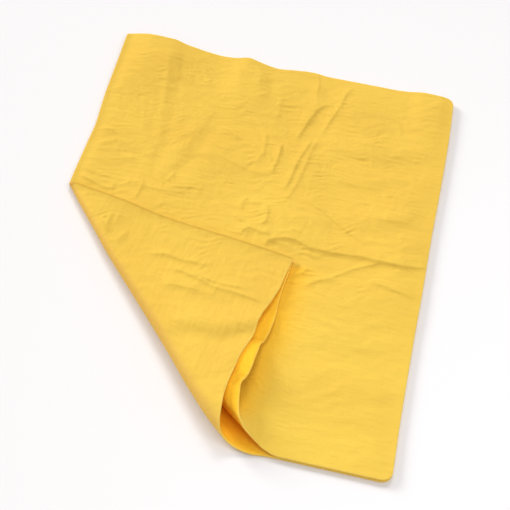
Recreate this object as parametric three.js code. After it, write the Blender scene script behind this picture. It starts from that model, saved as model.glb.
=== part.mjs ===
// Drying cloth: one 660 x 430 mm sheet of thick non-woven cloth, folded in half
// along its left edge (the spine) and laid flat, with the lower left corner of
// both plies turned over across a diagonal.  Millimetres, +Z up, +Y towards the
// far edge, origin under the middle of the folded cloth.
//
// Every piece is cut from the same doubled sheet.  A place in it is given by
// x (from the spine), y (from the near edge) and off (from the middle of the
// two plies, positive on the lower ply's outer side); place() carries it to
// where it lies once the corner has been rolled over.

import * as THREE from 'three';

// ---- driving dimensions -------------------------------------------------
const PLY_WIDTH = 330;        // folded width: half of the 660 mm sheet
const SHEET_LENGTH = 430;     // along the spine
const PLY = 2.0;              // thickness of one ply
const PLY_GAP = 0.3;          // between plies that rest on each other
const CUT_GAP = 0.3;          // between neighbouring pieces of the sheet
const CORNER_RADIUS = 9;      // rounded cut corners, away from the spine
const FOLD_ON_SPINE = 225;    // where the diagonal fold leaves the spine
const FOLD_ON_EDGE = 220;     // where it meets the near edge
const ROLL_R0 = 2.3;          // radius of the turn, middle of both plies, at the spine
const ROLL_HALF_ANGLE = 0.03;  // the turn is a cone that opens towards the near edge
const TURN = THREE.MathUtils.degToRad(179.4); // how far the cloth goes round in it
const INNER_RUNS_PAST = 8;    // the inside ply's way round is shorter, so its edge shows
const OUTER_FALLS_SHORT = 4;
const LIFT_LINE = 250;        // upper ply's free side turns up along this line

// ---- derived ------------------------------------------------------------
const HALF = PLY + PLY_GAP / 2;            // half of the doubled cloth
const MID = HALF;                          // height of its middle on the table
const SPINE_OUT = HALF;                    // spine bend, outer and inner radius
const SPINE_IN = PLY_GAP / 2;
const PANEL_X0 = SPINE_OUT + CUT_GAP;      // panels start clear of the spine bend
const diagonal = Math.hypot(FOLD_ON_EDGE, FOLD_ON_SPINE);
const D = new THREE.Vector2(FOLD_ON_EDGE / diagonal, -FOLD_ON_SPINE / diagonal);
const N = new THREE.Vector2(D.y, -D.x);    // towards the near left corner
const SIN_B = Math.sin(ROLL_HALF_ANGLE);
const COS_B = Math.cos(ROLL_HALF_ANGLE);
const APEX = new THREE.Vector2(0, FOLD_ON_SPINE).addScaledVector(D, -ROLL_R0 / SIN_B);

// a generator of the cone at turn angle phi: its direction, the way round and
// the way out, each as [along the fold, across it, up]
function generator(phi) {
  const c = Math.cos(phi), t = Math.sin(phi);
  const out0 = [SIN_B * c, t, -COS_B * c];
  return {
    g: [COS_B * COS_B + SIN_B * out0[0], SIN_B * out0[1], COS_B * SIN_B + SIN_B * out0[2]],
    round: [-SIN_B * t, c, COS_B * t],
    out: [COS_B * out0[0] - SIN_B * COS_B, COS_B * out0[1], COS_B * out0[2] - SIN_B * SIN_B],
  };
}
const inFrame = ([a, b, c]) => new THREE.Vector3(
  APEX.x + D.x * a + N.x * b - PLY_WIDTH / 2,
  APEX.y + D.y * a + N.y * b - SHEET_LENGTH / 2,
  MID + c);
function polar(x, y) {
  const a = (x - APEX.x) * D.x + (y - APEX.y) * D.y;
  const b = (x - APEX.x) * N.x + (y - APEX.y) * N.y;
  return [Math.hypot(a, b), Math.atan2(b, a)];
}
// a place past the roll, when the roll turns through `turn`
function turned(x, y, off, turn) {
  const [rho, theta] = polar(x, y);
  const { g, round, out } = generator(turn);
  const c = rho * Math.cos(theta - turn * SIN_B), t = rho * Math.sin(theta - turn * SIN_B);
  return inFrame(g.map((v, k) => c * v + t * round[k] + off * out[k]));
}
function place(x, y, off) {
  const [rho, theta] = polar(x, y);
  if (theta <= 0) {
    return new THREE.Vector3(x - PLY_WIDTH / 2, y - SHEET_LENGTH / 2, MID - off);
  }
  if (theta >= TURN * SIN_B) return turned(x, y, off, TURN);
  const { g, out } = generator(theta / SIN_B);
  return inFrame(g.map((v, k) => rho * v + off * out[k]));
}
const placeTurned = (x, y, off) => turned(x, y, off, TURN);

// ---- solids -------------------------------------------------------------
function facesOut(geometry) {
  const p = geometry.attributes.position;
  const idx = geometry.index;
  const n = idx ? idx.count : p.count;
  const at = (k) => (idx ? idx.getX(k) : k);
  const a = new THREE.Vector3(), b = new THREE.Vector3(), c = new THREE.Vector3();
  let volume = 0;
  for (let k = 0; k < n; k += 3) {
    a.fromBufferAttribute(p, at(k));
    b.fromBufferAttribute(p, at(k + 1));
    c.fromBufferAttribute(p, at(k + 2));
    volume += a.dot(b.cross(c));
  }
  if (volume < 0) {
    if (idx) {
      const arr = idx.array;
      for (let k = 0; k < n; k += 3) [arr[k + 1], arr[k + 2]] = [arr[k + 2], arr[k + 1]];
    } else {
      for (let k = 0; k < n; k += 3) {
        b.fromBufferAttribute(p, k + 1);
        c.fromBufferAttribute(p, k + 2);
        p.setXYZ(k + 1, c.x, c.y, c.z);
        p.setXYZ(k + 2, b.x, b.y, b.z);
      }
    }
  }
  geometry.computeVertexNormals();
  return geometry;
}

// flat piece of one ply: outline in the sheet, from off0 to off1, carried by put()
function panel(points, off0, off1, put) {
  const shape = new THREE.Shape(points.map(([x, y]) => new THREE.Vector2(x, y)));
  const g = new THREE.ExtrudeGeometry(shape, { depth: 1, bevelEnabled: false, steps: 1 });
  const p = g.attributes.position;
  for (let k = 0; k < p.count; k++) {
    const off = off0 + (off1 - off0) * p.getZ(k);
    const v = put(p.getX(k), p.getY(k), off);
    p.setXYZ(k, v.x, v.y, v.z);
  }
  return facesOut(g);
}

// closed shell over an nu x nv grid; f(i/nu, j/nv, side) gives a point
function shell(f, nu, nv) {
  const pts = [];
  const id = (i, j, side) => (i * (nv + 1) + j) * 2 + side;
  for (let i = 0; i <= nu; i++) {
    for (let j = 0; j <= nv; j++) {
      for (const side of [0, 1]) {
        const v = f(i / nu, j / nv, side);
        pts.push(v.x, v.y, v.z);
      }
    }
  }
  const tri = [];
  const quad = (a, b, c, d) => tri.push(a, b, c, a, c, d);
  for (let i = 0; i < nu; i++) {
    for (let j = 0; j < nv; j++) {
      quad(id(i, j, 0), id(i + 1, j, 0), id(i + 1, j + 1, 0), id(i, j + 1, 0));
      quad(id(i, j, 1), id(i, j + 1, 1), id(i + 1, j + 1, 1), id(i + 1, j, 1));
    }
  }
  for (let i = 0; i < nu; i++) {
    quad(id(i, 0, 0), id(i, 0, 1), id(i + 1, 0, 1), id(i + 1, 0, 0));
    quad(id(i, nv, 0), id(i + 1, nv, 0), id(i + 1, nv, 1), id(i, nv, 1));
  }
  for (let j = 0; j < nv; j++) {
    quad(id(0, j, 0), id(0, j + 1, 0), id(0, j + 1, 1), id(0, j, 1));
    quad(id(nu, j, 0), id(nu, j, 1), id(nu, j + 1, 1), id(nu, j + 1, 0));
  }
  const g = new THREE.BufferGeometry();
  g.setAttribute('position', new THREE.Float32BufferAttribute(pts, 3));
  g.setIndex(tri);
  return facesOut(g);
}

// where the line at angle theta from the fold crosses x = xb, or y = yb
function ray(theta) {
  const c = Math.cos(theta), t = Math.sin(theta);
  return new THREE.Vector2(D.x * c + N.x * t, D.y * c + N.y * t);
}
function rayAtX(theta, xb) {
  const r = ray(theta);
  return [xb, APEX.y + (r.y * (xb - APEX.x)) / r.x];
}
function rayAtY(theta, yb) {
  const r = ray(theta);
  return [APEX.x + (r.x * (yb - APEX.y)) / r.y, yb];
}
function rounded(cx, cy, a0, a1, n = 8) {
  const out = [];
  for (let i = 0; i <= n; i++) {
    const a = a0 + ((a1 - a0) * i) / n;
    out.push([cx + CORNER_RADIUS * Math.cos(a), cy + CORNER_RADIUS * Math.sin(a)]);
  }
  return out;
}

// ---- outlines in the sheet ---------------------------------------------
const g2 = CUT_GAP / 2;
const BEFORE_ROLL = -0.0008;               // angles just clear of the roll's two ends
const AFTER_ROLL = TURN * SIN_B + 0.0008;
const ROLL_FROM = 0.0012 / SIN_B;
const ROLL_TO = TURN - 0.0012 / SIN_B;
const R = CORNER_RADIUS;
const nearRight = rounded(PLY_WIDTH - R, R, -Math.PI / 2, 0);
const farRight = rounded(PLY_WIDTH - R, SHEET_LENGTH - R, 0, Math.PI / 2);

const lowerOutline = [
  rayAtX(BEFORE_ROLL, PANEL_X0), rayAtY(BEFORE_ROLL, 0), ...nearRight, ...farRight,
  [PANEL_X0, SHEET_LENGTH],
];
const upperFixedOutline = [
  rayAtX(BEFORE_ROLL, PANEL_X0), rayAtY(BEFORE_ROLL, 0),
  [LIFT_LINE - g2, 0], [LIFT_LINE - g2, SHEET_LENGTH], [PANEL_X0, SHEET_LENGTH],
];
const upperFreeOutline = [
  [LIFT_LINE + g2, 0], ...nearRight, ...farRight, [LIFT_LINE + g2, SHEET_LENGTH],
];
// turned corner, from the roll to the tip; yEdge is where its near edge is cut
const cornerOutline = (yEdge) => [
  rayAtX(AFTER_ROLL, PANEL_X0), rayAtY(AFTER_ROLL, yEdge), [46, yEdge], [20, 0], [PANEL_X0, 0],
];
// one ply of the roll; its near edge shifts towards yEdge as it goes round
function rollPly(off0, off1, yEdge) {
  return shell((a, t, side) => {
    const phi = ROLL_FROM + (ROLL_TO - ROLL_FROM) * a;
    const [xa, ya] = rayAtX(phi * SIN_B, PANEL_X0);
    const [xb, yb] = rayAtY(phi * SIN_B, yEdge * (phi / TURN) + Math.max(off1, 0) * 0.62 * Math.sin(phi) ** 2);
    return place(xa + (xb - xa) * t, ya + (yb - ya) * t, side ? off1 : off0);
  }, 20, 6);
}
// half tube that joins the plies along the spine; yOf gives the run along it
function spineTube(yOf, put, nAlong, nRound = 10) {
  return shell((a, b, side) => {
    const psi = -Math.PI / 2 + Math.PI * b;
    const rho = side ? SPINE_OUT : SPINE_IN;
    const x = SPINE_OUT - rho * Math.cos(psi);
    return put(x, yOf(a, x), rho * Math.sin(psi));
  }, nAlong, nRound);
}
const spineBend = spineTube((a, x) => {
  const y0 = rayAtX(BEFORE_ROLL, x)[1];
  return y0 + (SHEET_LENGTH - y0) * a;
}, place, 1);
const rollSpineBend = spineTube((a, x) => {
  const phi = ROLL_FROM + (ROLL_TO - ROLL_FROM) * a;
  return rayAtX(phi * SIN_B, x)[1];
}, place, 14);
const cornerSpineBend = spineTube((a, x) => rayAtX(AFTER_ROLL, x)[1] * (1 - a), placeTurned, 1);

// ---- the assembly -------------------------------------------------------
const cloth = (color) => new THREE.MeshStandardMaterial({ color, roughness: 0.95, metalness: 0 });
const LIT = 0xf6cf55;
const TURNED = 0xf0c44a;
const FOLD = 0xe8a938;

const group = new THREE.Group();
group.name = 'drying_cloth';
function add(name, geometry, color) {
  const mesh = new THREE.Mesh(geometry, cloth(color));
  mesh.name = name;
  group.add(mesh);
}
const LOWER = [PLY_GAP / 2, HALF];       // the ply on the table, outside of the roll
const UPPER = [-HALF, -PLY_GAP / 2];     // the ply on top, inside of the roll

add('lower_ply_panel', panel(lowerOutline, ...LOWER, place), LIT);
add('upper_ply_panel', panel(upperFixedOutline, ...UPPER, place), LIT);
add('upper_ply_free_side', panel(upperFreeOutline, ...UPPER, place), LIT);
add('spine_bend', spineBend, FOLD);
add('roll_lower_ply', rollPly(...LOWER, OUTER_FALLS_SHORT), FOLD);
add('roll_upper_ply', rollPly(...UPPER, -INNER_RUNS_PAST), FOLD);
add('roll_spine_bend', rollSpineBend, FOLD);
add('corner_lower_ply', panel(cornerOutline(OUTER_FALLS_SHORT), ...LOWER, placeTurned), TURNED);
add('corner_upper_ply', panel(cornerOutline(-INNER_RUNS_PAST), ...UPPER, placeTurned), TURNED);
add('corner_spine_bend', cornerSpineBend, TURNED);

export default group;
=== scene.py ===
import bpy
import math
import numpy as np
from mathutils import Matrix, Vector
from mathutils.bvhtree import BVHTree


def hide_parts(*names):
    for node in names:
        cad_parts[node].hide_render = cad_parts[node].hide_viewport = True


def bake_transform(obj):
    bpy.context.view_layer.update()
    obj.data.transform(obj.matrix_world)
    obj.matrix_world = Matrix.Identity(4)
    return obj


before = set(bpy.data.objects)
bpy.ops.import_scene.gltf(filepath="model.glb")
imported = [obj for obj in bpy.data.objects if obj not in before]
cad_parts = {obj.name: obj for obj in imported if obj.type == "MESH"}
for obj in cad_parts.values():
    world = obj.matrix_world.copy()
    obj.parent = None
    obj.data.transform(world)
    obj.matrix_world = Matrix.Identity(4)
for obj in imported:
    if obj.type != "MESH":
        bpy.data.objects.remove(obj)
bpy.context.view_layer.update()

# ============================================================ camera
# The viewpoint of the photograph: 52.8 degrees down, turned 6.6 degrees about the cloth, 6.8 degrees of roll.
ELEV, ROLL, FOCAL_PX, DIST = math.radians(52.8), math.radians(6.8), 1240.0, 1.095
TURN_Z, SHIFT_X, SHIFT_Y = math.radians(6.6), -0.201, -0.173
back = np.array([0.0, -math.cos(ELEV), math.sin(ELEV)])
right = np.array([1.0, 0.0, 0.0])
up = np.cross(right, -back)
cam_right = right * math.cos(ROLL) + up * math.sin(ROLL)
cam_up = -right * math.sin(ROLL) + up * math.cos(ROLL)


def to_row(v, point=False):
    """From the fitting frame (camera looks at its origin) to the row's frame."""
    x, y, z = v
    if point:
        x, y = x - SHIFT_X, y - SHIFT_Y
    c, s = math.cos(TURN_Z), math.sin(TURN_Z)
    x, y = c * x - s * y, s * x + c * y
    if point:
        x, y = x - 0.165, y - 0.215
    return Vector((x, y, z))


cam_data = bpy.data.cameras.new("view")
cam_data.sensor_width = 36.0
cam_data.lens = 36.0 * FOCAL_PX / 510.0
cam_data.clip_start, cam_data.clip_end = 0.05, 20
cam = bpy.data.objects.new("view", cam_data)
bpy.context.scene.collection.objects.link(cam)
rx, ry, rz = to_row(cam_right), to_row(cam_up), to_row(back)
m = Matrix(((rx[0], ry[0], rz[0]), (rx[1], ry[1], rz[1]), (rx[2], ry[2], rz[2]))).to_4x4()
m.translation = to_row(back * DIST, point=True)
cam.matrix_world = m
bpy.context.scene.camera = cam

# ============================================================ the sheet's shape, in millimetres
# x runs from the spine (the fold that doubles the sheet), y from the near edge, as if the doubled sheet lay flat.
WIDE, LONG = 330.0, 430.0
PLY, GAP = 2.0, 0.3
MID = PLY + GAP / 2
FOLD_X, FOLD_Y = 220.0, 225.0          # where the turned corner's fold meets the near edge and the spine
SEAM_X, SEAM_Y = 247.0, 236.0          # the line where the two pieces of the upper ply meet, under the turned corner
R0, HALF, TURN = 2.3, 0.03, math.radians(179.4)
CORNER = 9.0
SB, CB = math.sin(HALF), math.cos(HALF)
TURN_ANGLE = TURN * SB
_len = math.hypot(FOLD_X, FOLD_Y)
DIR = np.array([FOLD_X, -FOLD_Y]) / _len
NRM = np.array([DIR[1], -DIR[0]])
APEX = np.array([0.0, FOLD_Y]) - DIR * (R0 / SB)


def smooth(t):
    t = np.clip(t, 0, 1)
    return t * t * (3 - 2 * t)


def curve(x, xs, ys):
    """Smooth curve through points (monotone cubic), flat past its ends."""
    xs, ys = np.asarray(xs, float), np.asarray(ys, float)
    h, dlt = np.diff(xs), np.diff(ys) / np.diff(xs)
    mm = np.zeros_like(ys)
    for i in range(1, len(xs) - 1):
        if dlt[i - 1] * dlt[i] > 0:
            w1, w2 = 2 * h[i] + h[i - 1], h[i] + 2 * h[i - 1]
            mm[i] = (w1 + w2) / (w1 / dlt[i - 1] + w2 / dlt[i])
    x = np.clip(np.asarray(x, float), xs[0], xs[-1])
    i = np.clip(np.searchsorted(xs, x) - 1, 0, len(xs) - 2)
    t = (x - xs[i]) / h[i]
    return ((1 + 2 * t) * (1 - t) ** 2 * ys[i] + t * (1 - t) ** 2 * h[i] * mm[i]
            + t * t * (3 - 2 * t) * ys[i + 1] + t * t * (t - 1) * h[i] * mm[i + 1])


def generator(ph):
    cs, sn = np.cos(ph), np.sin(ph)
    qx, qy, qz = cs * SB, sn, -cs * CB
    g = np.stack([CB * CB + SB * qx, SB * qy, CB * SB + SB * qz], -1)
    t = np.stack([-sn * SB, cs, sn * CB], -1)
    n = np.stack([CB * qx - SB * CB, CB * qy, CB * qz - SB * SB], -1)
    return g, t, n


def polar(x, y):
    px, py = x - APEX[0], y - APEX[1]
    a, b = px * DIR[0] + py * DIR[1], px * NRM[0] + py * NRM[1]
    return np.hypot(a, b), np.arctan2(b, a)


def fold_start(rho):
    """How far the fold starts past the straight diagonal, as an angle about the apex."""
    a = curve(rho, [70, 77, 95, 130, 170, 215, 285, 316, 340, 380, 391],
              [-5.5, -5.5, -4.2, -2.2, 0, 0.5, 1.5, 2.5, 2.5, 0.5, 0])
    return a / rho


SAG_Y, SAG_Z = np.linspace(0, 240, 121), np.zeros(121)


def sag(x, y):
    """The turned corner's height over the cloth eases down toward the spine, which comes to rest on the cloth below."""
    return np.interp(y, SAG_Y, SAG_Z) * (1 - smooth(x / 115))


def turned(x, y, off):
    """Where the doubled sheet's point lies with the corner rolled over on a cone; also the share of the turn there."""
    rho, th = polar(x, y)
    start = fold_start(rho)
    rel = th - start
    ph = np.clip(rel / SB, 0, TURN)
    g, t, n = generator(ph)
    ex = np.clip(rel - TURN_ANGLE, 0, None)
    v = rho[..., None] * (np.cos(ex)[..., None] * g + np.sin(ex)[..., None] * t) + off[..., None] * n
    c, s = np.cos(start), np.sin(start)
    a, b = v[..., 0] * c - v[..., 1] * s, v[..., 0] * s + v[..., 1] * c
    px, py = APEX[0] + DIR[0] * a + NRM[0] * b, APEX[1] + DIR[1] * a + NRM[1] * b
    p = np.stack([px, py, MID + v[..., 2] + sag(x, y) * smooth((rel / TURN_ANGLE - 0.8) / 0.2)], -1)
    flat = np.stack([x, y, MID - off], -1)
    return np.where((rel <= 0)[..., None], flat, p), np.clip(rel / TURN_ANGLE, 0, 1), rho, th


_z = turned(np.full(121, MID), SAG_Y, np.full(121, 1.15))[0][:, 2]
SAG_Z = np.where(SAG_Y < 212, np.minimum(7.9 - _z, 0), 0) * (1 - smooth((SAG_Y - 150) / 60))

# the open edges of the turned corner, from its tip to where they lie flat again (cloth x, cloth y, z)
RIM_LOWER = np.array([
    (214.3, 194.7, 7.9), (211.1, 174.2, 8.7), (209.0, 157.5, 9.8), (204.9, 142.5, 11.2), (200.5, 129.5, 12.8),
    (198.1, 116.1, 14.6), (197.8, 104.7, 16.2), (195.8, 93.9, 17.8), (191.5, 78.4, 19.9), (189.2, 61.7, 22.0),
    (187.4, 47.7, 23.6), (186.7, 34.6, 24.6), (187.7, 21.2, 24.0), (188.1, 15.6, 22.8), (189.3, 10.2, 20.0),
    (191.1, 6.6, 16.0), (194.7, 4.3, 12.0), (200.4, 2.4, 7.6), (205.8, 1.4, 5.0), (211.8, 0.9, 2.9),
    (219.2, 1.0, 1.6), (228.9, 1.9, 1.0)])
RIM_UPPER = np.array([
    (213.7, 194.1, 5.6), (213.7, 182.7, 5.7), (212.6, 172.4, 5.8), (211.7, 163.3, 5.9), (210.9, 151.9, 6.3),
    (210.7, 140.7, 6.8), (211.1, 132.8, 7.2), (210.8, 125.0, 7.6), (209.9, 116.8, 8.2), (209.0, 109.5, 8.8),
    (207.1, 103.0, 10.2), (204.6, 96.4, 13.6), (204.4, 88.0, 16.4), (203.6, 79.5, 18.3), (202.9, 68.6, 19.6),
    (201.4, 59.2, 19.6), (199.1, 56.4, 18.6), (197.3, 52.6, 18.4), (198.0, 46.1, 19.4), (199.1, 37.5, 20.4),
    (200.7, 28.4, 20.6), (202.5, 21.9, 19.8), (206.3, 17.4, 16.6), (210.5, 13.9, 13.4), (218.6, 9.7, 9.0),
    (227.1, 6.1, 5.6), (234.2, 4.2, 3.9), (244.1, 2.5, 3.3)])


def near_edge(x):
    """The near edge drawn in a little from the straight line."""
    return 2.5 * smooth((x - 205) / 30)


def rim_shift(rim, off):
    """For one ply: how its open edge leaves the plain cone, against cloth x, as (x, smooth part, sharp part)."""
    seg = np.linalg.norm(np.diff(rim, axis=0), axis=1)
    run = np.r_[0, np.cumsum(seg)]
    run = run / run[-1] * rim[-1, 0]
    xs = np.arange(0, 331.0, 1.0)
    target = np.stack([np.interp(xs, run, rim[:, k]) for k in range(3)], -1)
    k = np.exp(-0.5 * (np.arange(-12, 13) / 1.7) ** 2)
    k /= k.sum()
    pad = np.pad(target, ((12, 12), (0, 0)), mode="reflect", reflect_type="odd")
    target = np.stack([np.convolve(pad[:, j], k, "valid") for j in range(3)], -1)
    plain, _, _, _ = turned(xs, near_edge(xs), np.full_like(xs, off))
    d = target - plain
    d *= (1 - smooth((xs - rim[-1, 0] + 14) / 14))[:, None]
    k = np.exp(-0.5 * (np.arange(-60, 61) / 22.0) ** 2)
    k /= k.sum()
    pad = np.pad(d, ((60, 60), (0, 0)), mode="edge")
    soft = np.stack([np.convolve(pad[:, j], k, "valid") for j in range(3)], -1)
    soft *= (1 - smooth((xs - rim[-1, 0] + 30) / 30))[:, None]
    return xs, soft, d - soft


SHIFT = {"lower": rim_shift(RIM_LOWER, 1.15), "upper": rim_shift(RIM_UPPER, -1.15)}


def rim_move(ply, rho, th):
    xs, soft, sharp = SHIFT[ply]
    along = DIR[1] * np.cos(th) + NRM[1] * np.sin(th)
    rr = np.where(along < -1e-3, -APEX[1] / np.minimum(along, -1e-3), 1e4)
    xr = APEX[0] + rr * (DIR[0] * np.cos(th) + NRM[0] * np.sin(th))
    s = np.clip(rr - rho, 0, None)
    f1 = np.exp(-((s / 105.0) ** 1.6))
    f2 = np.exp(-((s / 38.0) ** 1.5))
    xr = np.clip(xr, 0, 330)
    out = np.zeros(np.shape(rho) + (3,))
    for j in range(3):
        out[..., j] = np.interp(xr, xs, soft[:, j]) * f1 + np.interp(xr, xs, sharp[:, j]) * f2
    return out


# ------------------------------------------------------------ wrinkles
def line_field(x, y, pts):
    """Signed distance to a polyline, and how far along it the nearest point is, from 0 to 1."""
    pts = np.asarray(pts, float)
    seg = np.diff(pts, axis=0)
    ln = np.linalg.norm(seg, axis=1)
    total, before = ln.sum(), np.r_[0, np.cumsum(ln)]
    best = np.full(np.shape(x), 1e9)
    side, along = np.zeros(np.shape(x)), np.zeros(np.shape(x))
    for i in range(len(seg)):
        dx, dy = x - pts[i, 0], y - pts[i, 1]
        t = np.clip((dx * seg[i, 0] + dy * seg[i, 1]) / ln[i] ** 2, 0, 1)
        ex, ey = dx - t * seg[i, 0], dy - t * seg[i, 1]
        dd = np.hypot(ex, ey)
        sg = np.sign(seg[i, 0] * dy - seg[i, 1] * dx)
        hit = dd < best
        best, side, along = np.where(hit, dd, best), np.where(hit, sg, side), np.where(hit, (before[i] + t * ln[i]) / total, along)
    return best * side, along


def crease(x, y, pts, height, left, right, ends=0.2):
    """A sharp crest (or, below zero, a valley), falling away over left and right, in mm, on its two sides.

    Also how much painted shade it puts there, 0 to 1: the colour is darkened along the crest's steep side, or along a
    valley's bottom, where shade falls."""
    s, a = line_field(x, y, pts)
    taper = smooth(a / ends) * smooth((1 - a) / ends)
    steep = 0.7 * min(left, right)
    w = np.where(s > 0, left if left > right else steep, right if right > left else steep)
    d = np.sqrt(s * s + 0.2025) - 0.45
    aside = 0.0 if height < 0 else (0.8 if left < right else -0.8)
    # painted shade along the crease, offset to its steep side
    press = min(1.0, abs(height) / 1.6) * taper * np.exp(-(((s - aside) / 0.95) ** 2))
    return 0.8 * height * taper * np.exp(-((d / w) ** 1.25)), press


def creases(x, y, table):
    h, press = np.zeros(np.shape(x)), np.zeros(np.shape(x))
    for c in table:
        dh, dp = crease(x, y, *c)
        h, press = h + dh, np.maximum(press, dp)
    return h, press


def swells(x, y, table):
    """Soft steps: each line runs along the middle of a slope, high on its left and low on its right."""
    h = np.zeros(np.shape(x))
    for pts, height, reach in table:
        s, a = line_field(x, y, pts)
        h = h + height * smooth(a / 0.25) * smooth((1 - a) / 0.25) * (s / reach) * np.exp(0.5 - 0.5 * (s / reach) ** 2)
    return h


def waves(x, y, seed, n, lam, spread, direction, jitter):
    """Sum of long-crested waves: mean length lam, crests across direction."""
    rng = np.random.RandomState(seed)
    out = np.zeros(np.shape(x))
    for _ in range(n):
        l = lam * math.exp(rng.uniform(-spread, spread))
        a = direction + rng.normal(0, jitter)
        ph = rng.uniform(0, 2 * math.pi)
        out += np.sin((x * math.cos(a) + y * math.sin(a)) * 2 * math.pi / l + ph)
    return out / math.sqrt(n / 2)


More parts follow.
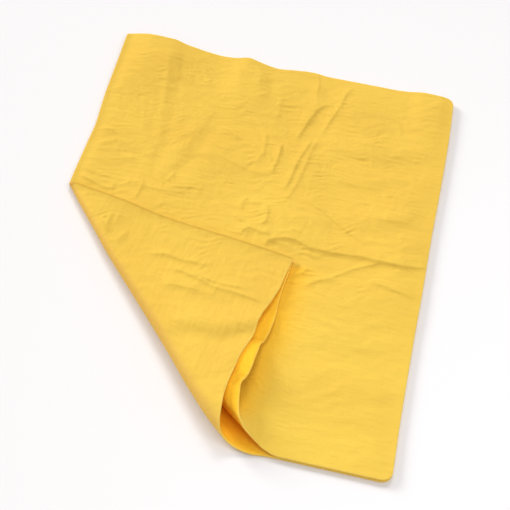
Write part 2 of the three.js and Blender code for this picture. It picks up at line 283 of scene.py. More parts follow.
# points in the row's x and y, height, reach to the left and to the right of the line's direction, taper
BASE_CREASES = [
    ([(18.9, -11.2), (23.2, -6.0), (28.9, -2.5), (36.5, 0.2), (45.8, 0.7), (52.6, -1.3), (59.6, -3.5), (66.1, -4.2), (72.7, -4.5), (79.1, -4.4), (86.7, -3.6), (93.0, -3.1), (99.4, -2.5), (109.0, -2.4), (118.1, -3.2), (127.1, -3.3), (134.7, -3.6), (145.0, -3.3), (158.7, -0.1), (168.7, 2.9)], 2.6, 17.0, 3.2, 0.05),
    ([(19.4, -13.4), (23.5, -7.1), (28.7, -5.8), (34.3, -6.6), (38.2, -6.8), (42.4, -6.7), (47.2, -6.4)], 0.7, 2.6, 2.2, 0.2),
    ([(56.7, -9.1), (60.9, -10.5), (63.6, -11.8), (68.6, -10.8), (74.4, -8.8)], 0.9, 2.2, 2.4, 0.25),
    ([(49.2, -29.9), (50.8, -28.6), (54.2, -25.6), (58.6, -22.5)], -1.0, 3.5, 2.6, 0.3),
    ([(49.3, -40.2), (53.0, -36.8), (58.7, -33.2), (61.1, -29.0), (65.4, -24.7)], 1.2, 3.2, 2.6, 0.25),
    ([(-1.2, -8.4), (-1.5, -2.8), (0.2, 1.1), (3.7, 4.1), (8.1, 2.6), (16.5, 0.4), (25.6, 0.4)], 1.3, 5.0, 2.6, 0.18),
    ([(37.9, 10.7), (44.9, 11.3), (51.4, 9.2)], 0.9, 3.0, 2.0, 0.3),
    ([(-13.5, 12.5), (-9.7, 14.2), (-7.1, 11.6), (-3.4, 8.6)], 0.7, 2.4, 1.8, 0.2),
    ([(-7.4, 21.6), (-8.5, 31.9), (-5.0, 39.6)], 0.8, 2.6, 2.0, 0.25),
    ([(-1.3, 31.9), (3.6, 33.2), (7.9, 32.3)], 0.7, 2.6, 2.0, 0.25),
    ([(13.5, 35.3), (15.8, 26.5), (16.9, 18.8), (15.8, 12.0), (11.4, 10.8)], 1.1, 2.2, 3.6, 0.15),
    ([(-160.4, 24.5), (-157.3, 23.4), (-150.0, 20.7), (-140.8, 17.7), (-132.8, 15.2), (-121.8, 16.9)], 1.2, 4.0, 2.4, 0.15),
    ([(-102.0, 35.4), (-100.8, 27.5), (-101.9, 16.3), (-102.8, 7.9)], 0.8, 2.4, 3.6, 0.2),
    ([(-74.3, 54.3), (-79.2, 40.4), (-82.1, 35.4)], 0.8, 3.0, 4.0, 0.25),
    ([(-117.7, 26.5), (-113.3, 27.4), (-105.6, 29.6), (-103.1, 31.8)], 1.0, 3.0, 2.2, 0.25),
    ([(-79.4, 30.9), (-68.9, 32.9), (-55.1, 36.0), (-43.8, 34.6)], 1.1, 3.4, 2.2, 0.25),
    ([(62.7, -47.6), (67.0, -43.3), (72.4, -38.7), (75.8, -36.2), (80.5, -34.2), (85.0, -31.4), (89.3, -26.7), (93.2, -23.6), (97.8, -20.0), (102.9, -16.2), (107.5, -13.5), (112.5, -11.0), (122.4, -5.5), (127.5, -3.3)], 1.1, 3.2, 2.3, 0.12),
    ([(44.8, 49.3), (57.1, 44.5), (67.6, 38.1), (76.9, 31.3), (88.4, 24.0), (99.5, 17.7), (111.0, 10.3)], 0.9, 3.0, 2.2, 0.2),
    ([(115.0, -26.6), (120.4, -27.5), (132.1, -28.7), (139.4, -30.6), (146.4, -32.0), (154.8, -33.1), (164.5, -33.7)], 1.3, 6.0, 2.8, 0.25),
    ([(52.9, 173.1), (41.9, 170.0), (36.7, 162.5), (31.4, 146.4), (27.2, 129.6), (24.1, 116.5)], 1.7, 3.4, 8.0, 0.18),
    ([(69.3, 207.0), (63.7, 198.2), (60.2, 189.2), (58.0, 172.4), (53.6, 159.5), (49.7, 144.8), (45.8, 129.9)], 1.0, 2.6, 3.5, 0.15),
    ([(40.3, 128.4), (38.0, 119.8), (32.4, 98.3), (29.5, 80.3), (27.7, 65.2), (24.1, 51.8)], 1.2, 2.6, 4.0, 0.15),
    ([(46.5, 136.8), (41.4, 111.6), (38.7, 90.1), (36.0, 69.5), (31.9, 51.9), (25.7, 35.9)], 0.8, 2.5, 3.0, 0.2),
    ([(28.7, 215.4), (32.4, 200.2), (32.9, 183.7)], 0.7, 2.0, 2.6, 0.2),
    ([(12.9, 112.3), (12.6, 97.0), (12.5, 86.3), (10.4, 79.3), (12.3, 71.3)], 1.1, 2.0, 3.0, 0.15),
    ([(2.1, 179.1), (0.8, 160.5), (1.6, 140.2), (2.1, 124.6)], 0.5, 3.0, 3.0, 0.3),
    ([(-4.6, 122.7), (-2.7, 105.7), (-1.7, 93.0), (-7.6, 83.6)], 0.7, 2.2, 2.6, 0.2),
    ([(-52.3, 118.2), (-38.2, 113.2), (-23.6, 104.1)], 0.8, 3.0, 2.2, 0.3),
    ([(-49.2, 110.1), (-35.8, 109.5), (-26.3, 103.4)], 0.6, 2.5, 2.0, 0.3),
    ([(-50.7, 83.5), (-33.4, 77.7), (-7.9, 69.9), (15.8, 70.2)], 0.7, 3.0, 2.5, 0.25),
    ([(-58.6, 96.5), (-40.9, 91.0), (-27.2, 89.7)], 0.5, 3.0, 2.5, 0.3),
    ([(-128.9, 147.0), (-128.4, 142.0), (-118.8, 103.7), (-116.1, 82.9)], 0.64, 3.0, 3.0, 0.3),
    ([(-118.0, 207.9), (-116.6, 190.6), (-110.9, 156.4), (-107.0, 129.7), (-105.0, 107.2)], 0.64, 3.0, 3.0, 0.3),
    ([(-116.4, 139.4), (-115.7, 131.8), (-115.1, 104.8), (-112.5, 87.8)], 0.48, 2.5, 2.5, 0.3),
    ([(-109.9, 204.3), (-104.0, 172.6), (-100.0, 141.4)], 0.4, 2.5, 2.5, 0.3),
    ([(-165.0, 33.2), (-156.4, 33.1), (-143.0, 29.4), (-129.4, 28.2)], 0.96, 4.0, 3.0, 0.2),
    ([(-162.0, 81.2), (-151.3, 84.1), (-140.9, 85.1)], 0.96, 3.5, 3.0, 0.2),
    ([(-165.0, 131.8), (-160.5, 136.5), (-150.5, 136.6)], 0.8, 3.5, 3.0, 0.2),
    ([(-119.9, 20.9), (-102.8, 26.9), (-83.8, 26.0), (-65.4, 27.4), (-51.7, 32.4)], 0.72, 3.0, 2.5, 0.25),
    ([(-72.7, 56.5), (-66.2, 68.5), (-57.9, 73.4), (-43.9, 70.9), (-31.3, 65.5)], -0.48, 4.0, 4.0, 0.3),
    ([(-86.2, 35.2), (-78.6, 49.8), (-69.8, 59.8)], -0.56, 5.0, 5.0, 0.3),
    ([(-51.8, 216.0), (-45.3, 193.9), (-42.5, 171.9)], 0.8, 5.0, 5.0, 0.3),
    ([(-31.3, 216.0), (-24.7, 197.0), (-22.1, 174.9)], 0.8, 5.0, 5.0, 0.3),
    ([(65.0, 131.4), (89.4, 130.3), (117.7, 134.3), (151.3, 135.8)], 0.32, 4.0, 3.0, 0.3),
    ([(64.4, 79.5), (88.1, 78.6), (120.4, 82.5)], 0.32, 4.0, 3.0, 0.3),
    ([(98.1, 45.7), (121.4, 43.7), (139.5, 46.2), (157.5, 48.8)], 0.4, 4.0, 3.0, 0.3),
]
BASE_SWELLS = [
    ([(40.0, 113.0), (87.0, 115.3), (124.8, 119.4), (170.0, 134.7)], 0.9, 11.0),
    ([(62.0, 38.0), (100.8, 29.2), (122.0, 38.0), (160.0, 60.0)], 0.95, 10.0),
    ([(60.0, -97.3), (104.7, -101.7), (130.0, -100.2), (175.0, -97.6)], 1.0, 12.0),
    ([(-60.1, 150.0), (-60.1, 123.5), (-69.3, 81.2), (-84.6, 25.0)], -0.55, 7.0),
    ([(-24.0, 225.0), (-19.0, 190.0), (-14.0, 150.0)], -0.6, 7.0),
    ([(-77.0, 225.0), (-72.0, 190.0), (-66.0, 150.0)], -0.4, 6.0),
    ([(-112.0, 225.0), (-104.0, 150.0), (-97.0, 84.5), (-100.0, 20.0)], -0.35, 5.0),
    ([(42.0, 205.0), (36.0, 165.0), (34.0, 130.0)], -0.5, 6.0),
]
FLAP_SWELLS = [
    ([(-45.0, -124.0), (-15.3, -121.8), (5.7, -120.4), (30.0, -106.9), (50.0, -100.0)], 1.6, 8.0),
    ([(-60.0, -84.0), (-40.0, -83.0), (-15.0, -84.0), (20.0, -84.0)], 0.5, 7.0),
]
FLAP_CREASES = [
    ([(-80.3, -50.1), (-69.9, -50.1), (-58.6, -47.9), (-46.2, -50.2), (-31.4, -49.9), (-16.6, -50.5)], 1.50, 4.0, 3.0, 0.25),
    ([(-34.5, -61.4), (-29.7, -63.2), (-18.8, -65.8), (-5.2, -67.6), (8.9, -66.7), (21.1, -66.7)], 1.50, 5.0, 2.2, 0.25),
    ([(-57.8, -62.5), (-42.9, -63.1), (-28.8, -66.7), (-11.3, -72.9), (3.4, -73.4), (18.2, -74.8), (30.2, -76.9), (38.8, -76.5)], 2.25, 5.0, 2.8, 0.18),
    ([(-59.5, -83.9), (-47.1, -81.1), (-35.8, -80.8), (-15.0, -80.6)], 1.95, 9.0, 6.0, 0.35),
    ([(-118.1, -38.6), (-117.2, -24.2), (-116.4, -13.8)], 0.8, 3.0, 3.0, 0.3),
    ([(-110.3, -30.8), (-110.0, -20.3), (-108.6, -11.6)], 0.7, 3.0, 3.0, 0.3),
    ([(-66.2, -2.8), (-62.1, -13.4)], 1.35, 2.2, 2.2, 0.3),
    ([(-128.8, -24.1), (-120.2, -28.7), (-111.8, -39.1)], 1.05, 4.0, 4.0, 0.3),
    ([(-109.3, -47.6), (-103.3, -43.7), (-98.5, -28.6)], 0.90, 4.0, 4.0, 0.3),
]
# the ply inside the turned corner is crumpled near its open edge
INNER_CREASES = [
    ([(26.4, -113.2), (29.4, -113.0), (32.8, -112.8), (37.8, -112.3), (41.4, -113.0), (45.2, -114.6)], -2.4, 2.0, 4.0, 0.2),
    ([(24.3, -168.3), (26.3, -165.3), (29.0, -160.8), (33.1, -156.9), (34.6, -154.5)], -1.3, 3.0, 2.0, 0.2),
    ([(34.0, -139.0), (29.0, -152.0), (25.0, -163.0)], 1.0, 4.0, 4.0, 0.3),
]


def ripples(x, y, calm=1.0):
    """Fine crimping all over: short broken strokes mostly across the cloth, on soft larger swells."""
    wx = x + 2.2 * waves(x, y, 21, 9, 26, 0.4, 0.3, 2.0) + 5 * waves(x, y, 22, 7, 90, 0.4, 1.2, 2.0)
    wy = y + 1.5 * waves(x, y, 23, 9, 30, 0.4, 0.2, 0.9) + 4 * waves(x, y, 24, 7, 80, 0.4, 0.4, 2.0)
    mask = np.clip(0.9 + 0.28 * waves(x, y, 5, 9, 60, 0.5, 0.6, 2.0), 0.45, 1.5)
    broken = np.clip(0.9 + 0.3 * waves(x, y, 25, 14, 24, 0.4, 0.1, 0.7), 0.35, 1.5)
    fine = waves(wx, wy, 11, 60, 5.0, 0.35, math.pi / 2 + 0.04, 0.15)
    fine = fine + 0.15 * (np.abs(fine) - 0.8)
    pleat = waves(wx, wy, 12, 40, 6.5, 0.35, 0.05, 0.35)
    net = np.zeros(np.shape(x))
    for seed, lam, size in ((31, 34, 0.30), (32, 24, 0.20), (33, 46, 0.30)):
        line = waves(wx, wy, seed, 10, lam, 0.35, 1.1 * (seed - 31), 1.2)
        part = smooth(0.35 + 0.8 * waves(x, y, seed + 20, 7, 2.2 * lam, 0.3, 0.4, 2.0))
        net = net + size * part * np.exp(-np.abs(line) * lam / 9.0)
    return (0.115 * mask * broken * calm * fine
            + 0.045 * mask * calm * pleat
            + calm * net
            + 0.14 * waves(wx, wy, 13, 24, 21, 0.4, math.pi / 2 - 0.1, 0.6)
            + 0.45 * waves(x, y, 14, 14, 85, 0.3, 0.9, 2.0))


def base_relief(x, y):
    """Height that the upper ply stands over its resting height, x and y in the row's frame."""
    dh, press = creases(x, y, BASE_CREASES)
    calm = 1 - 0.6 * smooth((x - 20) / 70) * smooth((-25 - y) / 60) - 0.25 * smooth((x - 60) / 60)
    h = 1.25 + ripples(x, y, calm) + swells(x, y, BASE_SWELLS) + dh
    h = np.where(h < 0.4, 0.4 * np.exp((h - 0.4) / 0.4), h)
    # under the turned corner it is pressed flat
    d_spine = line_field(x, y, [(-185.0, 12.8), (49.3, -20.3), (75.0, -23.9)])[0]
    d_rim = line_field(x, y, RIM_UPPER[:, :2] - (WIDE / 2, LONG / 2))[0]
    covered = smooth((0.5 - d_spine) / 9) * smooth((1 - d_rim) / 9)
    return h * (1 - 0.93 * covered), press * (1 - covered)


def flap_relief(x, y):
    """Height over the plain turned corner, x and y where it lies after turning."""
    dh, press = creases(x, y, FLAP_CREASES)
    return 0.9 * ripples(x * 0.9 + 31, y * 0.9 - 57) + swells(x, y, FLAP_SWELLS) + dh, press


# ------------------------------------------------------------ outline and lifted edges
TOP_IN = ([0, 8, 22, 46, 60, 80, 100, 112, 124, 136, 155, 172, 190, 205, 247, 273, 299, 330],
          [0, 1.3, 2.0, 1.8, -0.4, -2.2, -3.6, -3.2, -1.2, -3.4, -5.5, -3, -1, -2.7, -2.3, -2, 0.5, 0])
TOP_LIFT = ([0, 12, 26, 44, 66, 92, 108, 124, 140, 160, 285, 304, 316, 330],
            [1.5, 3.4, 5.0, 4.6, 2.0, 0.3, 0.8, 2.8, 1.0, 0, 0, 1.8, 1.8, 0.5])
RIGHT_OUT = ([0, 30, 60, 130, 200, 250, 300, 370, 430], [-0.5, -0.8, -1.2, -0.9, 0, 0.2, 1.2, 1.9, 0.8])
LEFT_OUT = ([200, 240, 262, 286, 303, 328, 353, 383, 402, 430], [0, -0.3, 0.3, 1, 1.7, 0.2, -1, -1.4, -1.7, -2.2])


def outline(x, y):
    """Cloth coordinates with the sheet's real, slightly wavy outline and its rounded free corners."""
    x, y = np.array(x, float), np.array(y, float)
    for far in (True, False):
        v = np.clip(((y - (LONG - CORNER)) if far else (CORNER - y)) / CORNER, 0, 1)
        u = np.clip((x - (WIDE - CORNER)) / CORNER, 0, 1)
        un, vn = u * np.sqrt(1 - v * v / 2), v * np.sqrt(1 - u * u / 2)
        x = np.where((u > 0) & (v > 0), WIDE - CORNER + un * CORNER, x)
        y = np.where((u > 0) & (v > 0), (LONG - CORNER + vn * CORNER) if far else (CORNER - vn * CORNER), y)
    ft = smooth((y - (LONG - 70)) / 70) ** 1.5
    fb = (1 - smooth(y / 40))
    fr = smooth((x - (WIDE - 60)) / 60)
    fl = (1 - smooth(x / 50))
    nx = x + fr * curve(y, *RIGHT_OUT) + fl * curve(y, *LEFT_OUT)
    ny = y + ft * curve(x, *TOP_IN) + fb * near_edge(x)
    return nx, ny


def lift(x, y):
    e = np.maximum(LONG - y, 0)
    far = np.exp(-((e / 55.0) ** 1.4))
    return far * curve(x, *TOP_LIFT)


def sheet_point(ply, x, y, o):
    """A point of one ply: x and y as if flat, o off the ply's own middle, + toward the lower ply's outer side."""
    x, y, o = np.broadcast_arrays(np.asarray(x, float), np.asarray(y, float), np.asarray(o, float))
    off = o + (1.15 if ply == "lower" else -1.15)
    nx, ny = outline(x, y)
    p, share, rho, th = turned(nx, ny, off)
    on_base = 1 - smooth(share * 3.2)
    on_flap = smooth((share - 0.62) / 0.38)
    p = p + rim_move(ply, rho, th)
    rx_, ry_ = p[..., 0] - WIDE / 2, p[..., 1] - LONG / 2
    up_ = lift(nx, ny) * on_base
    if ply == "upper":
        rim_in = np.minimum(np.minimum(WIDE - x, LONG - y), y + 60 * (share > 0))
        fade = 0.35 + 0.65 * smooth(rim_in / 26)
        h, press = base_relief(nx - WIDE / 2, ny - LONG / 2)
        up_ = up_ + h * on_base * fade * smooth(x / 16)
        h, press_in = creases(rx_, ry_, INNER_CREASES)
        up_ = up_ + h * on_flap
        press = press * on_base + press_in * on_flap
    else:
        press = np.zeros(np.shape(x))
    h, press_flap = flap_relief(rx_, ry_)
    up_ = up_ + h * on_flap * smooth(x / 10 + 0.25)
    if ply == "lower":
        press = press_flap * on_flap
    p[..., 2] += up_
    return p, share, press


def bend_point(y, psi, r, ply_start=1.0):
    """The spine's round bend: psi 0 at the lower ply, pi at the upper, r from its centre."""
    y, psi, r = np.broadcast_arrays(np.asarray(y, float), np.asarray(psi, float), np.asarray(r, float))
    x = MID - r * np.sin(psi)
    off = r * np.cos(psi)
    nx, ny = outline(np.maximum(x, 0) * 0 + MID, y)
    nx = nx + (x - MID)
    p, share, rho, th = turned(nx, ny, off)
    k = (psi / math.pi)[..., None]
    p = p + (1 - k) * rim_move("lower", rho, th) + k * rim_move("upper", rho, th)
    on_base = 1 - smooth(share * 3.2)
    on_flap = smooth((share - 0.62) / 0.38)
    p[..., 2] += lift(nx, ny) * on_base
    p[..., 2] += flap_relief(p[..., 0] - WIDE / 2, p[..., 1] - LONG / 2)[0] * on_flap * smooth(MID / 10 + 0.25)
    return p, share, np.zeros(np.shape(psi))


# ============================================================ meshes
HALF_T = PLY / 2
EDGE = 1.1                             # how far in from a cut edge its rounding reaches
ROUND = EDGE * np.array([0, 0.07, 0.27, 0.6, 1.0])
E_ROWS = len(ROUND) - 1


def thin(x, y):
    """Cut edges are rounded: the sheet's thickness there follows a half circle."""
    d = np.clip(np.minimum(np.minimum(WIDE - x, LONG - y), y) / EDGE, 0, 1)
    return np.maximum(np.sqrt(1 - (1 - d) ** 2), 0.12)


class Shell:
    """A closed thick sheet on a grid. Side 0 is the sheet's outer side (the lower ply's underside, the upper ply's
    top), side 1 the side between the plies; borders get walls. Side 1 may take every second grid line only."""

    def __init__(self, ys, bend, every=1):
        self.co, self.share, self.press, self.uv, self.faces, self.index, self.edges = [], [], [], [], [], {}, {}
        self.inner, self.beside, self.rolled, self.mouth_shade = [], [], [], []
        self.ys, self.bend, self.every = ys, bend, every
        self.psis = np.linspace(0, math.pi, bend + 1)

    def on_side1(self, n):
        return n[1] % self.every == 0 and n[2] % self.every == 0

    def add(self, side, nodes, p, share, press, uv):
        base = len(self.co)
        for k, n in enumerate(nodes):
            self.index[(n, side)] = base + k
        self.co.extend(p.tolist())
        self.share.extend(share.tolist())
        self.press.extend(press.tolist())
        self.tone(side, p, share)
        self.uv.extend(uv)

    def tone(self, side, p, share):
        """Masks for painted shade: beside the turned corner's open edge, inside the mouth, and on the roll, where a
        painted sheen goes with it.
        """
        d, a = line_field(p[..., 0], p[..., 1], RIM_UPPER[:22, :2])
        beside = np.exp(-((np.maximum(d, 0) / 17.0) ** 2)) * np.exp(-((np.minimum(d, 0) / 12.0) ** 2))
        beside = beside * smooth(a / 0.06) * smooth((1 - a) / 0.12) * (1 - smooth(share * 3.2)) * (p[..., 2] < 9)
        self.beside.extend((beside * (1 - side)).tolist())
        self.rolled.extend((smooth(share / 0.25) * smooth((1 - share) / 0.3)).tolist())
        rho, th = polar(p[..., 0], p[..., 1])
        past = np.clip(rho * (fold_start(rho) - th), 0, None)
        near_fold = (1 - smooth(past / 35)) * (1 - smooth((p[..., 0] - 215) / 35))
        self.mouth_shade.extend((side * np.where(share > 0, 1.0, near_fold)).tolist())

    def put(self, ply, ij, xs):
        outer = 1.0 if ply == "lower" else -1.0
        tag = "lo" if ply == "lower" else "up"
        for side, sgn in ((0, 1.0), (1, -1.0)):
            sel = [(tag, i, j) for i, j in ij if side == 0 or self.on_side1((tag, i, j))]
            x, y = xs[np.array([n[1] for n in sel])], self.ys[np.array([n[2] for n in sel])]
            p, share, press = sheet_point(ply, x, y, outer * sgn * HALF_T * thin(x, y))
            self.add(side, sel, p, share, press, list(zip((outer * x).tolist(), y.tolist())))

    def put_bend(self, js, ks):
        for side, sgn in ((0, 1.0), (1, -1.0)):
            sel = [("bend", k, j) for j in js for k in ks if side == 0 or self.on_side1(("bend", k, j))]
            psi, y = self.psis[np.array([n[1] for n in sel])], self.ys[np.array([n[2] for n in sel])]
            p, share, press = bend_point(y, psi, 1.15 + sgn * HALF_T * thin(np.full_like(y, 99.0), y))
            self.add(side, sel, p, share, press, list(zip((-(psi - math.pi / 2) * 1.15).tolist(), y.tolist())))

    def cell(self, *nodes):
        self.faces.append([self.index[(n, 0)] for n in nodes])
        self.inner.append(False)
        if self.every == 1:
            self.under(*nodes)
        for p, q in zip(nodes, nodes[1:] + nodes[:1]):
            if (q, p) in self.edges:
                del self.edges[(q, p)]
            else:
                self.edges[(p, q)] = True

    def under(self, *nodes):
        self.faces.append([self.index[(n, 1)] for n in nodes][::-1])
        self.inner.append(True)

    def close(self):
        follow = {p: q for p, q in self.edges}
        for p in list(follow):
            if not self.on_side1(p):
                continue
            chain = [p, follow[p]]
            while not self.on_side1(chain[-1]):
                chain.append(follow[chain[-1]])
            top_row = [self.index[(n, 0)] for n in chain[::-1]]
            self.faces.append(top_row + [self.index[(p, 1)], self.index[(chain[-1], 1)]])
            self.inner.append(False)


def lines(*parts, near=False, far=0.0):
    """Grid lines: (from, to, steps) joined end to end, with the rounding's lines at the near and far cut edges."""
    out = [np.linspace(a, b, n + 1)[(1 if k else 0):] for k, (a, b, n) in enumerate(parts)]
    out = np.concatenate(out)
    if near:
        out = np.r_[ROUND[:-1], out]
    if far:
        out = np.r_[out, far - ROUND[-2::-1]]
    return out


def row(j):
    """Grid rows counted from the near edge's rounding, where the seam's diagonal starts."""
    return max(0, j - E_ROWS)


# ---- lower sheet: the whole lower ply, the spine of the turned corner, and the corner of the upper ply
N = 154
ys = lines((EDGE, SEAM_Y, N), (SEAM_Y, LONG - 12, 36), (LONG - 12, LONG - EDGE, 6), near=True, far=LONG)
xl = lines((MID, 226, 148), (226, WIDE - 12, 18), (WIDE - 12, WIDE - EDGE, 6), far=WIDE)
xu = lines((MID, SEAM_X, N))
low = Shell(ys, 7)
J, I, NJ = len(ys) - 1, len(xl) - 1, N + E_ROWS
low.put("lower", [(i, j) for j in range(J + 1) for i in range(I + 1)], xl)
low.put_bend(range(NJ + 1), range(1, low.bend))
low.put("upper", [(i, j) for j in range(NJ + 1) for i in range(N + 1 - row(j))], xu)
for j in range(J):
    for i in range(I):
        low.cell(("lo", i, j), ("lo", i, j + 1), ("lo", i + 1, j + 1), ("lo", i + 1, j))
for j in range(NJ):
    for k in range(low.bend):
        a = [("lo", 0, jj) if kk == 0 else ("up", 0, jj) if kk == low.bend else ("bend", kk, jj)
             for kk, jj in ((k, j), (k + 1, j), (k + 1, j + 1), (k, j + 1))]
        low.cell(*a)
    for i in range(N - row(j)):
        if i + row(j + 1) < N:
            low.cell(("up", i, j), ("up", i + 1, j), ("up", i + 1, j + 1), ("up", i, j + 1))
        else:
            low.cell(("up", i, j), ("up", i + 1, j), ("up", i, j + 1))
low.close()

# ---- upper sheet: the rest of the upper ply and the spine beyond the turned corner
M = 200
ys2 = lines((EDGE, SEAM_Y, M), (SEAM_Y, LONG - EDGE, 158), near=True, far=LONG)
xu2 = lines((MID, SEAM_X, M), (SEAM_X, WIDE - EDGE, 66), far=WIDE)
top = Shell(ys2, 8, every=2)
J2, I2, MJ = len(ys2) - 1, len(xu2) - 1, M + E_ROWS
top.put("upper", [(i, j) for j in range(J2 + 1) for i in range(I2 + 1) if i + row(j) >= M], xu2)
top.put_bend(range(MJ, J2 + 1), range(0, top.bend))
for j in range(J2):
    for i in range(max(0, M - row(j + 1)), I2):
        if i + row(j) >= M:
            top.cell(("up", i, j), ("up", i + 1, j), ("up", i + 1, j + 1), ("up", i, j + 1))
        else:
            top.cell(("up", i + 1, j), ("up", i + 1, j + 1), ("up", i, j + 1))
for j in range(0, J2, 2):
    for i in range(max(0, M - row(j + 2)), I2, 2):
        if i + row(j) >= M:
            top.under(("up", i, j), ("up", i + 2, j), ("up", i + 2, j + 2), ("up", i, j + 2))
        else:
            top.under(("up", i + 2, j), ("up", i + 2, j + 2), ("up", i, j + 2))


def top_node(k, j):
    return ("up", 0, j) if k == top.bend else ("bend", k, j)


for j in range(MJ, J2):
    for k in range(top.bend):
        top.cell(top_node(k, j), top_node(k + 1, j), top_node(k + 1, j + 1), top_node(k, j + 1))
for j in range(MJ, J2, 2):
    for k in range(0, top.bend, 2):
        top.under(top_node(k, j), top_node(k + 2, j), top_node(k + 2, j + 2), top_node(k, j + 2))
top.close()


# ---- the turned corner's plies are raised where they would sink into what lies under them
def faces_of(shell, tag, side, keep):
    """Faces of one side of one ply, for a tree that rays can be cast at, from the nodes whose share of the turn fits.
    """
    ids = {v for (n, s), v in shell.index.items() if s == side and n[0] in tag and keep(shell.share[v])}
    return [f for f in shell.faces if all(v in ids for v in f)]


def height_under(tree, pts):
    """The height of the surface at each point's x and y, or below all if there is none."""
    out = np.full(len(pts), -1e3)
    for k, p in enumerate(pts):
        hit = tree.ray_cast(Vector((p[0], p[1], 100.0)), Vector((0, 0, -1.0)))[0]
        if hit is not None:
            out[k] = hit.z
    return out


def raise_field(pts, need, cell=2.0, reach=2, soft=1.6):
    """What must be raised, spread a little wider and softened, as a function of x and y."""
    nx_, ny_ = int(370 / cell), int(470 / cell)
    g = np.zeros((ny_, nx_))
    np.maximum.at(g, (((pts[:, 1] + 20) / cell).astype(int), ((pts[:, 0] + 20) / cell).astype(int)), need)
    for axis in (0, 1):
        g = np.max([np.roll(g, k, axis) for k in range(-reach, reach + 1)], axis=0)
    k = np.exp(-0.5 * (np.arange(-6, 7) / soft) ** 2)
    k /= k.sum()
    for axis in (0, 1):
        g = np.sum([np.roll(g, i - 6, axis) * w for i, w in enumerate(k)], axis=0)

    def at(x, y):
        u, v = (x + 20) / cell - 0.5, (y + 20) / cell - 0.5
        i, j = np.floor(u).astype(int), np.floor(v).astype(int)
        a, b = u - i, v - j
        return ((1 - a) * (1 - b) * g[j, i] + a * (1 - b) * g[j, i + 1]
                + (1 - a) * b * g[j + 1, i] + a * b * g[j + 1, i + 1])
    return at


def settle():
    co, share_ = np.array(low.co), np.clip(np.array(low.share), 0, 1)
    up_part = np.zeros(len(co))                    # 1 on the inner ply, 0 on the outer ply, between them in the bend
    side_ = np.zeros(len(co), int)
    for (n, s), v in low.index.items():
        up_part[v] = 1.0 if n[0] == "up" else n[1] / low.bend if n[0] == "bend" else 0.0
        side_[v] = s
    on_flap = smooth((share_ - 0.62) / 0.38)
    turned_, flat_ = (lambda t: t > 0.7), (lambda t: t < 0.05)
    under = [(top, faces_of(top, ("up", "bend"), 0, flat_)), (low, faces_of(low, ("up",), 0, flat_))]
    trees = [BVHTree.FromPolygons(sh.co, f) for sh, f in under if f]
    inner = np.flatnonzero((side_ == 0) & (up_part > 0) & (share_ > 0.7))
    need = np.max([height_under(t, co[inner]) for t in trees], axis=0) + 0.2 - co[inner, 2]
    first = raise_field(co[inner], np.clip(need, 0, 6))
    co[:, 2] += np.clip(first(co[:, 0], co[:, 1]), 0, None) * on_flap
    tree = BVHTree.FromPolygons(co.tolist(), faces_of(low, ("up",), 1, turned_))
    outer = np.flatnonzero((side_ == 1) & (up_part == 0) & (share_ > 0.7))
    need2 = height_under(tree, co[outer]) + 0.12 - co[outer, 2]
    second = raise_field(co[outer], np.clip(need2, 0, 6))
    co[:, 2] += np.clip(second(co[:, 0], co[:, 1]), 0, None) * on_flap * (1 - up_part)
    low.co = co.tolist()
    return float(need.max()), float(need2.max())


RAISED = settle()


def to_metres(p):
    p = np.asarray(p, float)
    p[:, 2] = np.maximum(p[:, 2], 0.0)
    return np.column_stack([(p[:, 0] - WIDE / 2) / 1000, (p[:, 1] - LONG / 2) / 1000, p[:, 2] / 1000])


def border_edges(shell):
    """Edges between a side and a wall stay crisp, so that the two pieces shade as one sheet at their seam."""
    keep = set()
    for p, q in shell.edges:
        keep.add(frozenset((shell.index[(p, 0)], shell.index[(q, 0)])))
    follow = {p: q for p, q in shell.edges}
    for p in follow:
        if shell.on_side1(p):
            q = follow[p]
            while not shell.on_side1(q):
                q = follow[q]
            keep.add(frozenset((shell.index[(p, 1)], shell.index[(q, 1)])))
    return keep


def build(name, shell, layout=None):
    me = bpy.data.meshes.new(name)
    co = to_metres(shell.co)
    me.from_pydata((co if layout is None else layout).tolist(), [], shell.faces)
    me.update()
    me.polygons.foreach_set("use_smooth", np.ones(len(me.polygons), bool))
    uv = me.uv_layers.new(name="Cloth")
    vi = np.zeros(len(me.loops), np.int32)
    me.loops.foreach_get("vertex_index", vi)
    flat = np.array(shell.uv, float)[vi] / 1000.0
    uv.data.foreach_set("uv", flat.astype(np.float32).ravel())
    for tag, values in (("pressed", shell.press), ("beside", shell.beside), ("rolled", shell.rolled),
                        ("mouth_shade", shell.mouth_shade)):
        me.attributes.new(tag, "FLOAT", "POINT").data.foreach_set("value", np.array(values, np.float32))
    me.polygons.foreach_set("material_index", np.array(shell.inner, np.int32))
    wall = border_edges(shell)
    sharp = np.array([frozenset(e.vertices) in wall for e in me.edges], bool)
    at = me.attributes.get("sharp_edge") or me.attributes.new("sharp_edge", "BOOLEAN", "EDGE")
    at.data.foreach_set("value", sharp)
    ob = bpy.data.objects.new(name, me)
    bpy.context.scene.collection.objects.link(ob)
    return ob, co


def set_points(ob, co):
    ob.data.vertices.foreach_set("co", np.asarray(co, np.float32).ravel())
    ob.data.update()


# the lower sheet bends over the fold: laid out by its share of the turn, then put in its folded place
share = np.clip(np.array(low.share), 0, 1)
t_lay = 0.5 - np.sin(np.arcsin(np.clip(1 - 2 * share, -1, 1)) / 3)
layout = np.column_stack([t_lay, np.zeros_like(t_lay), np.zeros_like(t_lay)])
low_ob, low_co = build("lower_sheet", low, layout)
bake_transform(low_ob)
set_points(low_ob, low_co)

top_ob, top_co = build("upper_sheet", top)
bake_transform(top_ob)

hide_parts("lower_ply_panel", "roll_lower_ply", "roll_upper_ply", "roll_spine_bend",
            "corner_lower_ply", "corner_upper_ply", "corner_spine_bend")
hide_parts("upper_ply_panel", "upper_ply_free_side", "spine_bend")

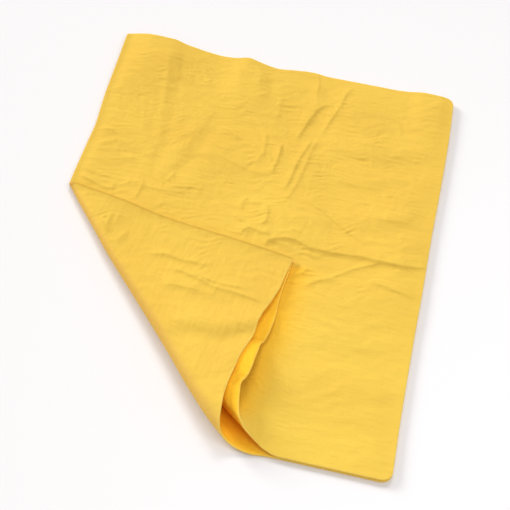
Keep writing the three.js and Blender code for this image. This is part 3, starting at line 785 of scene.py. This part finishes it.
# ============================================================ material
def cloth_material(name, low_tone, high_tone, edge_highlight_and_wear_amount, specular, inner=False):
    """The dyed cloth: uneven dye, napped and grained; painted shade in the creases, along the spine, inside the mouth,
    beside the turned corner and on the roll (with a painted sheen there), painted light toward the near end, and cut
    edges lighter, partly a painted highlight and partly wear.
    """
    mat = bpy.data.materials.new(name)
    mat.use_nodes = True
    nt = mat.node_tree
    nt.nodes.clear()
    out = nt.nodes.new("ShaderNodeOutputMaterial")
    bsdf = nt.nodes.new("ShaderNodeBsdfPrincipled")
    nt.links.new(bsdf.outputs["BSDF"], out.inputs["Surface"])
    uvn = nt.nodes.new("ShaderNodeUVMap")
    uvn.uv_map = "Cloth"

    def noise(scale, detail=3.0, rough=0.55, stretch=(1, 1, 1)):
        mp = nt.nodes.new("ShaderNodeMapping")
        mp.inputs["Scale"].default_value = stretch
        nt.links.new(uvn.outputs["UV"], mp.inputs["Vector"])
        n = nt.nodes.new("ShaderNodeTexNoise")
        n.inputs["Scale"].default_value = scale
        n.inputs["Detail"].default_value = detail
        n.inputs["Roughness"].default_value = rough
        nt.links.new(mp.outputs["Vector"], n.inputs["Vector"])
        return n.outputs["Fac"]

    def ramp(src, stops):
        r = nt.nodes.new("ShaderNodeValToRGB")
        for e, (pos, col) in zip(r.color_ramp.elements, stops):
            e.position = pos
            e.color = (*col, 1)
        nt.links.new(src, r.inputs["Fac"])
        return r.outputs["Color"]

    def math_node(op, a, b_=None, clamp=False):
        n = nt.nodes.new("ShaderNodeMath")
        n.operation = op
        n.use_clamp = clamp
        for k, v in enumerate((a, b_)):
            if v is None:
                continue
            if isinstance(v, (int, float)):
                n.inputs[k].default_value = v
            else:
                nt.links.new(v, n.inputs[k])
        return n.outputs["Value"]

    def mix(a, b_, factor, blend="MIX"):
        n = nt.nodes.new("ShaderNodeMix")
        n.data_type = "RGBA"
        n.blend_type = blend
        for sock, v in ((n.inputs["A"], a), (n.inputs["B"], b_), (n.inputs["Factor"], factor)):
            if isinstance(v, (int, float, tuple)):
                sock.default_value = v
            else:
                nt.links.new(v, sock)
        return n.outputs["Result"]

    colour = ramp(noise(9.0, 3.0, 0.5, (1, 1.6, 1)), [(0.30, low_tone), (0.72, high_tone)])
    speck = ramp(noise(420.0, 4.0, 0.6), [(0.25, (0.97, 0.90, 0.80)), (0.75, (1.0, 1.0, 1.0))])
    colour = mix(colour, speck, 0.6, "MULTIPLY")
    # the sheet's own outline and its spine, from the place on the flat sheet
    sep = nt.nodes.new("ShaderNodeSeparateXYZ")
    nt.links.new(uvn.outputs["UV"], sep.inputs["Vector"])
    across = math_node("ABSOLUTE", sep.outputs["X"])
    from_end = math_node("MINIMUM", sep.outputs["Y"], math_node("SUBTRACT", LONG / 1000, sep.outputs["Y"]))
    from_edge = math_node("MINIMUM", math_node("SUBTRACT", WIDE / 1000, across), from_end)
    edge_highlight_and_wear = math_node("SUBTRACT", 1.0, math_node("DIVIDE", from_edge, 0.0016), clamp=True)
    spine = math_node("SUBTRACT", 1.0, math_node("DIVIDE", across, 0.010), clamp=True)

    def along(tag):
        at = nt.nodes.new("ShaderNodeAttribute")
        at.attribute_name = tag
        return at.outputs["Fac"]

    # painted shade: darker in the creases and within 10 mm of the spine, where shade falls
    fold_and_spine_shade = math_node("MAXIMUM", math_node("MULTIPLY", along("pressed"), 0.75), math_node("POWER", spine, 1.6))
    colour = mix(colour, (0.83, 0.83, 0.76, 1.0), fold_and_spine_shade, "MULTIPLY")
    # painted shadow: a thin dark line on the lower ply's side of the spine, on top along the turned corner, where it
    # lies on the cloth
    painted_spine_shadow = math_node("ABSOLUTE", math_node("SUBTRACT", sep.outputs["X"], 0.0017))
    painted_spine_shadow = math_node("SUBTRACT", 1.0, math_node("DIVIDE", painted_spine_shadow, 0.0024), clamp=True)
    colour = mix(colour, (0.86, 0.80, 0.69, 1.0), painted_spine_shadow, "MULTIPLY")
    if inner:
        # painted shade: inside the mouth the colour turns a deeper orange, more so away from the cut edges, in place of
        # light bounced between the plies
        mouth_depth_shade = math_node("DIVIDE", math_node("SUBTRACT", from_edge, 0.002), 0.022, clamp=True)
        colour = mix(colour, (1.25, 1.08, 0.44, 1.0), along("mouth_shade"), "MULTIPLY")
        colour = mix(colour, (1.02, 0.90, 0.46, 1.0), math_node("MULTIPLY", mouth_depth_shade, along("mouth_shade")), "MULTIPLY")
    else:
        # painted light: the upper ply is a little lighter and yellower toward the near end
        near_end_light = math_node("DIVIDE", math_node("SUBTRACT", 0.24, sep.outputs["Y"]), 0.20, clamp=True)
        upper = math_node("LESS_THAN", sep.outputs["X"], 0.0)
        colour = mix(colour, (1.02, 1.06, 1.04, 1.0), math_node("MULTIPLY", near_end_light, upper), "MULTIPLY")
        # painted shadow: amber on the cloth beside the turned corner's open edge
        colour = mix(colour, (1.15, 0.975, 0.42, 1.0), along("beside"), "MULTIPLY")
        # painted shade with a bluish painted sheen on the roll
        colour = mix(colour, (0.97, 0.91, 1.17, 1.0), along("rolled"), "MULTIPLY")
    # lighter within 1.6 mm of the cut edges: partly a painted highlight where the edges catch light, partly wear
    colour = mix(colour, (1.0, 0.70, 0.13, 1.0), math_node("MULTIPLY", edge_highlight_and_wear, edge_highlight_and_wear_amount))
    nt.links.new(colour, bsdf.inputs["Base Color"])
    bsdf.inputs["Roughness"].default_value = 0.9
    bsdf.inputs["Specular IOR Level"].default_value = specular
    # nap: short broken ripples across the sheet, and a fine grain
    relief = math_node("ADD", noise(190.0, 3.0, 0.5, (0.26, 1.0, 1.0)), math_node("MULTIPLY", noise(900.0, 3.0, 0.6), 0.35))
    bump = nt.nodes.new("ShaderNodeBump")
    bump.inputs["Strength"].default_value = 0.62
    bump.inputs["Distance"].default_value = 0.001
    nt.links.new(relief, bump.inputs["Height"])
    nt.links.new(bump.outputs["Normal"], bsdf.inputs["Normal"])
    return mat


outside = cloth_material("drying_cloth", (0.785, 0.502, 0.067), (0.815, 0.545, 0.075), 0.75, 0.3)
# the faces between the plies take a slightly redder copy of the cloth with less specular, carrying the painted shade of
# the mouth
inside = cloth_material("drying_cloth_inner_face", (0.795, 0.502, 0.064), (0.825, 0.545, 0.072), 0.6, 0.2, inner=True)
for ob in (low_ob, top_ob):
    ob.data.materials.append(outside)
    ob.data.materials.append(inside)

# ============================================================ floor and light
fm = bpy.data.materials.new("floor_paint")
fm.use_nodes = True
fb_ = fm.node_tree.nodes["Principled BSDF"]
fb_.inputs["Base Color"].default_value = (0.848, 0.832, 0.836, 1)
fb_.inputs["Roughness"].default_value = 0.9
fb_.inputs["Specular IOR Level"].default_value = 0.1
me = bpy.data.meshes.new("floor")
q = 6.0
me.from_pydata([(-q, -q, -0.0003), (q, -q, -0.0003), (q, q, -0.0003), (-q, q, -0.0003)], [], [(0, 1, 2, 3)])
me.materials.append(fm)
floor = bpy.data.objects.new("floor", me)
bpy.context.scene.collection.objects.link(floor)


def area_light(name, loc, target, size, watts, color=(1, 1, 1)):
    d = bpy.data.lights.new(name, "AREA")
    d.shape = "DISK"
    d.size = size
    d.energy = watts
    d.color = color
    o = bpy.data.objects.new(name, d)
    bpy.context.scene.collection.objects.link(o)
    o.location = loc
    o.rotation_mode = "QUATERNION"
    o.rotation_quaternion = (Vector(target) - Vector(loc)).to_track_quat("-Z", "Y")
    return o


# a low broad light on the left, another from behind, a weak near one in front, and an even surround
area_light("left", (-6.62, 3.09, 3.25), (0, 0, 0), 3.0, 435)
area_light("behind", (-0.93, 5.27, 5.95), (0, 0, 0), 3.2, 206)
area_light("front", (0.52, -0.42, 0.95), (0, 0, 0), 0.8, 3.6)
world = bpy.data.worlds.new("studio")
world.use_nodes = True
world.node_tree.nodes["Background"].inputs["Color"].default_value = (1.0, 0.98, 0.985, 1)
world.node_tree.nodes["Background"].inputs["Strength"].default_value = 0.475
bpy.context.scene.world = world
bpy.context.scene.view_settings.view_transform = "Standard"
